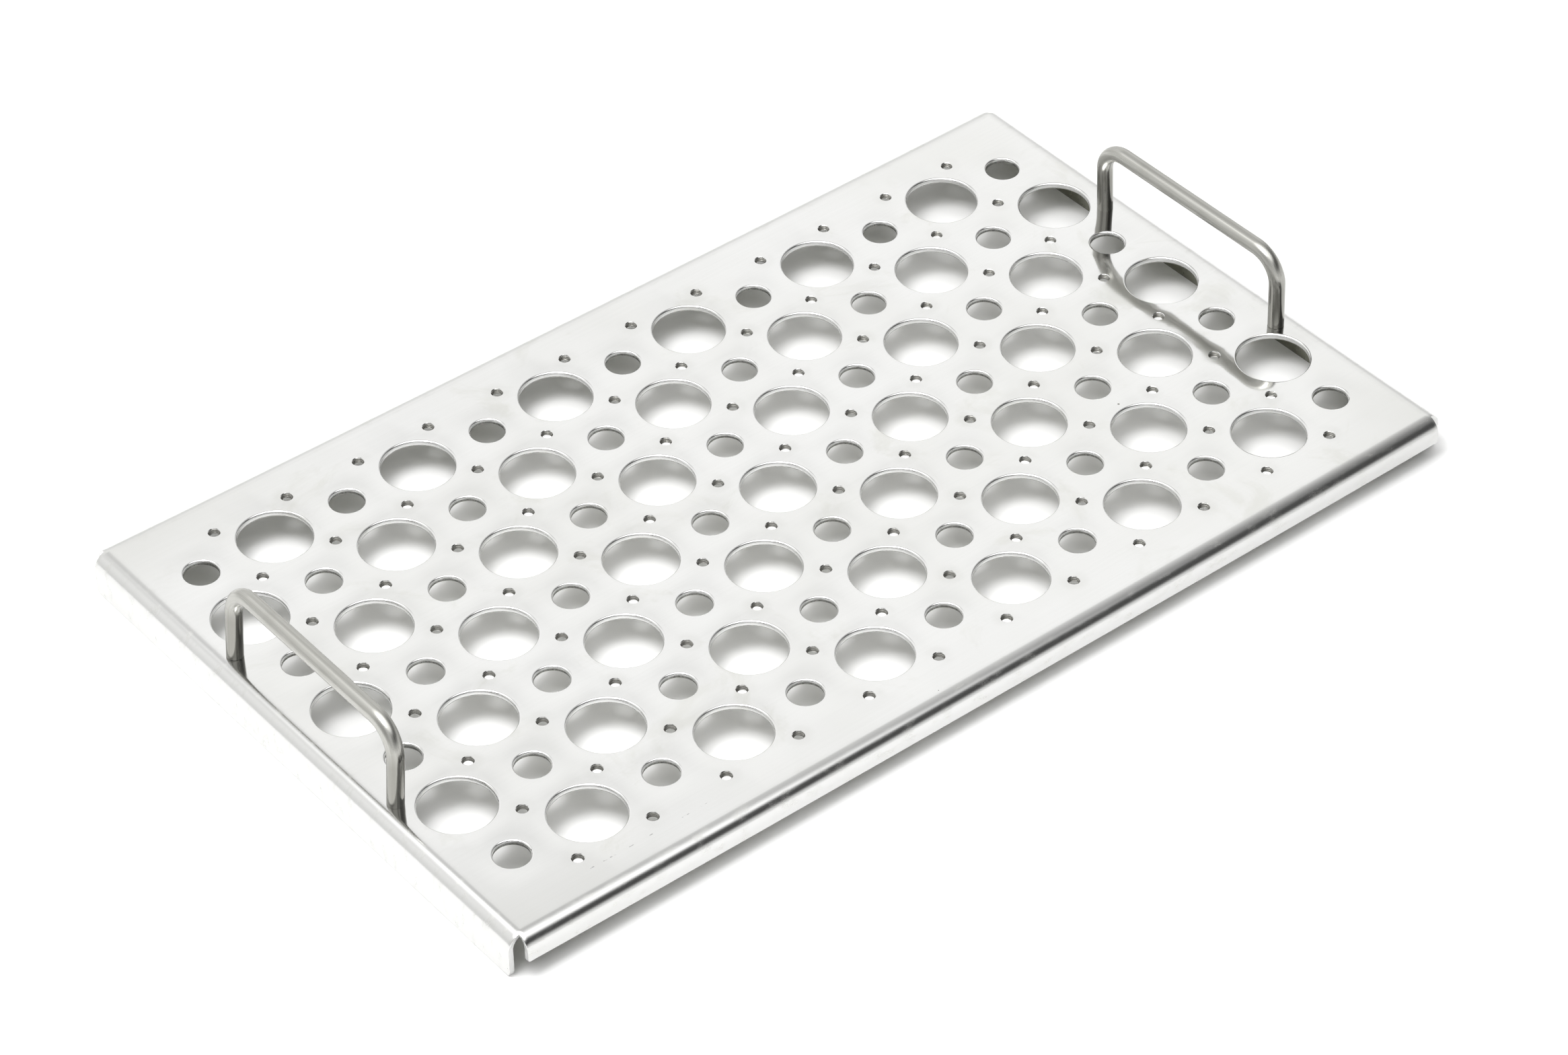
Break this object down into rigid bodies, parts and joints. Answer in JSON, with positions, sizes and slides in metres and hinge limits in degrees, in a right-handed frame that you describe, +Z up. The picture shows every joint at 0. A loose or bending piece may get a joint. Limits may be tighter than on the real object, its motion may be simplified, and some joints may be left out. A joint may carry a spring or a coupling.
{
  "type": "perforated tray with lifting handles",
  "caption": "Perforated stainless steel tray folded down at its edges, with punched holes between a grid of M4 tapped holes for clamps, and a bow handle at each end.",
  "frame": {"origin": "under the middle of the tray, on the surface that it stands on", "axes": "+X along the tray, from one handle to the other; +Y across the tray; +Z up, out of the perforated face"},
  "size_m": [0.408, 0.244, 0.049],
  "materials": {
    "tray_sheet": "bright cold-rolled stainless sheet, faintly cloudy, with wipe marks",
    "handle_rod": "drawn stainless rod with fine lines along it",
    "screw_steel": "plain stainless screw",
    "washer_steel": "plain stainless spring washer"
  },
  "bodies": {
    "root": {"perforated_tray": "tray_sheet", "left_handle": "handle_rod", "right_handle": "handle_rod", "left_rear_screw": "screw_steel", "left_rear_lock_washer": "washer_steel", "left_front_screw": "screw_steel", "left_front_lock_washer": "washer_steel", "right_rear_screw": "screw_steel", "right_rear_lock_washer": "washer_steel", "right_front_screw": "screw_steel", "right_front_lock_washer": "washer_steel"}
  },
  "joints": []
}
